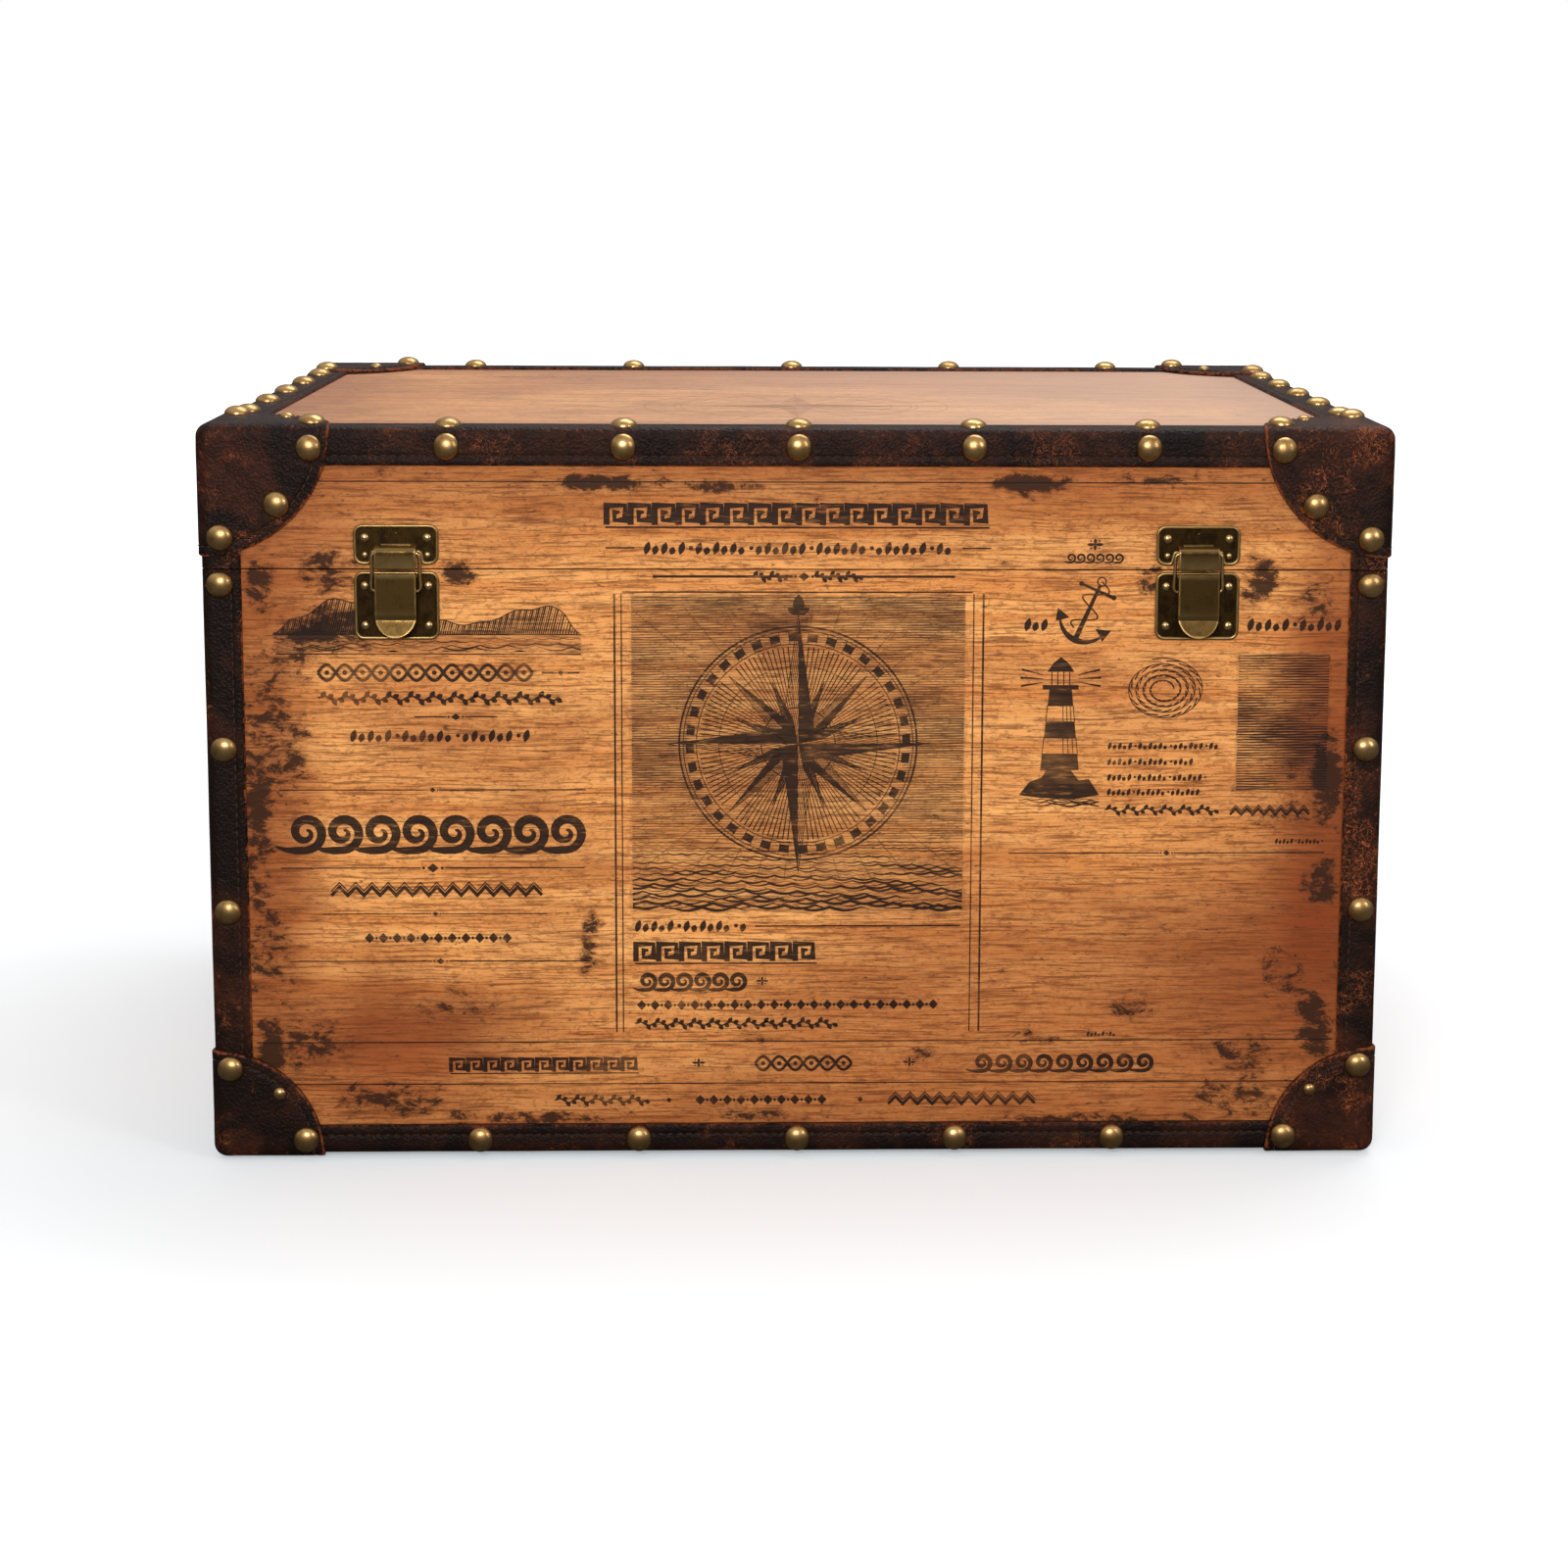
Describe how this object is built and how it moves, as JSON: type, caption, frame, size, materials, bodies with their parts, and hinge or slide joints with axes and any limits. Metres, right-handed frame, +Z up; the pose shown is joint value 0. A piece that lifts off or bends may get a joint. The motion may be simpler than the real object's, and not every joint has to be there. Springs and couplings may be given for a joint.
{
  "type": "trunk",
  "caption": "Small rectangular travel trunk with a shallow hinged lid, nailed leather edging and corners, lever latches, drop handles and folding lid stays.",
  "frame": {"origin": "centre of the bounding box at the bottom of the foot glides", "axes": "+X to the right along the long front, +Y from the front with the latches to the back with the hinges, +Z up"},
  "size_m": [0.694, 0.4762, 0.4256],
  "materials": {
    "printed_wood": "stained boards with a worn dark print, satin varnish",
    "plain_wood": "bare pine",
    "edge_leather": "dark brown, stitched, rubbed at the edges",
    "antique_brass": "antiqued, dark in the hollows",
    "aged_metal": "dull antiqued",
    "lining_paper": "matt lining"
  },
  "bodies": {
    "case": {"body_back_board": "printed_wood", "body_back_trim": "edge_leather", "body_bottom_board": "printed_wood", "body_corner_blocks": "plain_wood", "body_corner_pads": "edge_leather", "body_dome_nails": "antique_brass", "body_front_board": "printed_wood", "body_front_trim": "edge_leather", "body_left_board": "printed_wood", "body_left_trim": "edge_leather", "body_lining": "lining_paper", "body_right_board": "printed_wood", "body_right_trim": "edge_leather", "body_upright_trims": "edge_leather", "foot_glides": "aged_metal", "handle_mounts_left": "aged_metal", "handle_mounts_right": "aged_metal", "handle_screws": "aged_metal", "hinge_body_leaves": "aged_metal", "hinge_body_screws": "aged_metal", "hinge_pins": "aged_metal", "latch_base_left": "antique_brass", "latch_base_right": "antique_brass", "latch_base_rivets": "antique_brass", "latch_lever_pins": "antique_brass", "lid_locating_lip": "plain_wood", "stay_body_brackets": "aged_metal"},
    "lid": {"hinge_lid_leaves": "aged_metal", "hinge_lid_screws": "aged_metal", "latch_catch_left": "antique_brass", "latch_catch_right": "antique_brass", "latch_catch_rivets": "antique_brass", "lid_back_board": "printed_wood", "lid_back_trim": "edge_leather", "lid_corner_pads": "edge_leather", "lid_dome_nails": "antique_brass", "lid_front_board": "printed_wood", "lid_front_trim": "edge_leather", "lid_left_board": "printed_wood", "lid_left_trim": "edge_leather", "lid_lining": "lining_paper", "lid_right_board": "printed_wood", "lid_right_trim": "edge_leather", "lid_top_board": "printed_wood", "lid_upright_trims": "edge_leather", "stay_lid_brackets": "aged_metal"},
    "latch_lever_left": {"latch_lever_left": "antique_brass"},
    "latch_bail_left": {"latch_bail_left": "antique_brass"},
    "handle_left": {"handle_bail_left": "aged_metal", "handle_grip_left": "edge_leather"},
    "stay_lower_left": {"stay_lower_arm_left": "aged_metal"},
    "stay_upper_left": {"stay_upper_arm_left": "aged_metal"},
    "latch_lever_right": {"latch_lever_right": "antique_brass"},
    "latch_bail_right": {"latch_bail_right": "antique_brass"},
    "handle_right": {"handle_bail_right": "aged_metal", "handle_grip_right": "edge_leather"},
    "stay_lower_right": {"stay_lower_arm_right": "aged_metal"},
    "stay_upper_right": {"stay_upper_arm_right": "aged_metal"}
  },
  "joints": [
    {"name": "lid_hinge", "type": "hinge", "parent": "case", "child": "lid", "pos_m": [0, 0.232, 0.3398], "axis": [-1, 0, 0], "range_deg": [0, 100]},
    {"name": "latch_lever_left_pivot", "type": "hinge", "parent": "case", "child": "latch_lever_left", "pos_m": [-0.2225, -0.2332, 0.3364], "axis": [-1, 0, 0], "range_deg": [0, 95]},
    {"name": "latch_bail_left_pivot", "type": "hinge", "parent": "lid", "child": "latch_bail_left", "pos_m": [-0.2225, -0.2323, 0.3492], "axis": [-1, 0, 0], "range_deg": [0, 33.25]},
    {"name": "stay_lower_left_pivot", "type": "hinge", "parent": "case", "child": "stay_lower_left", "pos_m": [-0.31, 0.154, 0.2948], "axis": [-1, 0, 0], "range_deg": [0, 100]},
    {"name": "stay_upper_left_pivot", "type": "hinge", "parent": "lid", "child": "stay_upper_left", "pos_m": [-0.3075, 0.154, 0.3848], "axis": [-1, 0, 0], "range_deg": [-100, 0]},
    {"name": "handle_left_pivot", "type": "hinge", "parent": "case", "child": "handle_left", "pos_m": [-0.339, 0, 0.245], "axis": [0, 1, 0], "range_deg": [0, 95]},
    {"name": "latch_lever_right_pivot", "type": "hinge", "parent": "case", "child": "latch_lever_right", "pos_m": [0.2225, -0.2332, 0.3364], "axis": [-1, 0, 0], "range_deg": [0, 95]},
    {"name": "latch_bail_right_pivot", "type": "hinge", "parent": "lid", "child": "latch_bail_right", "pos_m": [0.2225, -0.2323, 0.3492], "axis": [-1, 0, 0], "range_deg": [0, 33.25]},
    {"name": "stay_lower_right_pivot", "type": "hinge", "parent": "case", "child": "stay_lower_right", "pos_m": [0.31, 0.154, 0.2948], "axis": [-1, 0, 0], "range_deg": [0, 100]},
    {"name": "stay_upper_right_pivot", "type": "hinge", "parent": "lid", "child": "stay_upper_right", "pos_m": [0.3075, 0.154, 0.3848], "axis": [-1, 0, 0], "range_deg": [-100, 0]},
    {"name": "handle_right_pivot", "type": "hinge", "parent": "case", "child": "handle_right", "pos_m": [0.339, 0, 0.245], "axis": [0, -1, 0], "range_deg": [0, 95]}
  ],
  "couplings": [
    {"joint": "latch_bail_left_pivot", "follows": "latch_lever_left_pivot", "ratio": 0.35},
    {"joint": "stay_lower_left_pivot", "follows": "lid_hinge", "ratio": 1},
    {"joint": "stay_upper_left_pivot", "follows": "lid_hinge", "ratio": -1},
    {"joint": "latch_bail_right_pivot", "follows": "latch_lever_right_pivot", "ratio": 0.35},
    {"joint": "stay_lower_right_pivot", "follows": "lid_hinge", "ratio": 1},
    {"joint": "stay_upper_right_pivot", "follows": "lid_hinge", "ratio": -1}
  ]
}
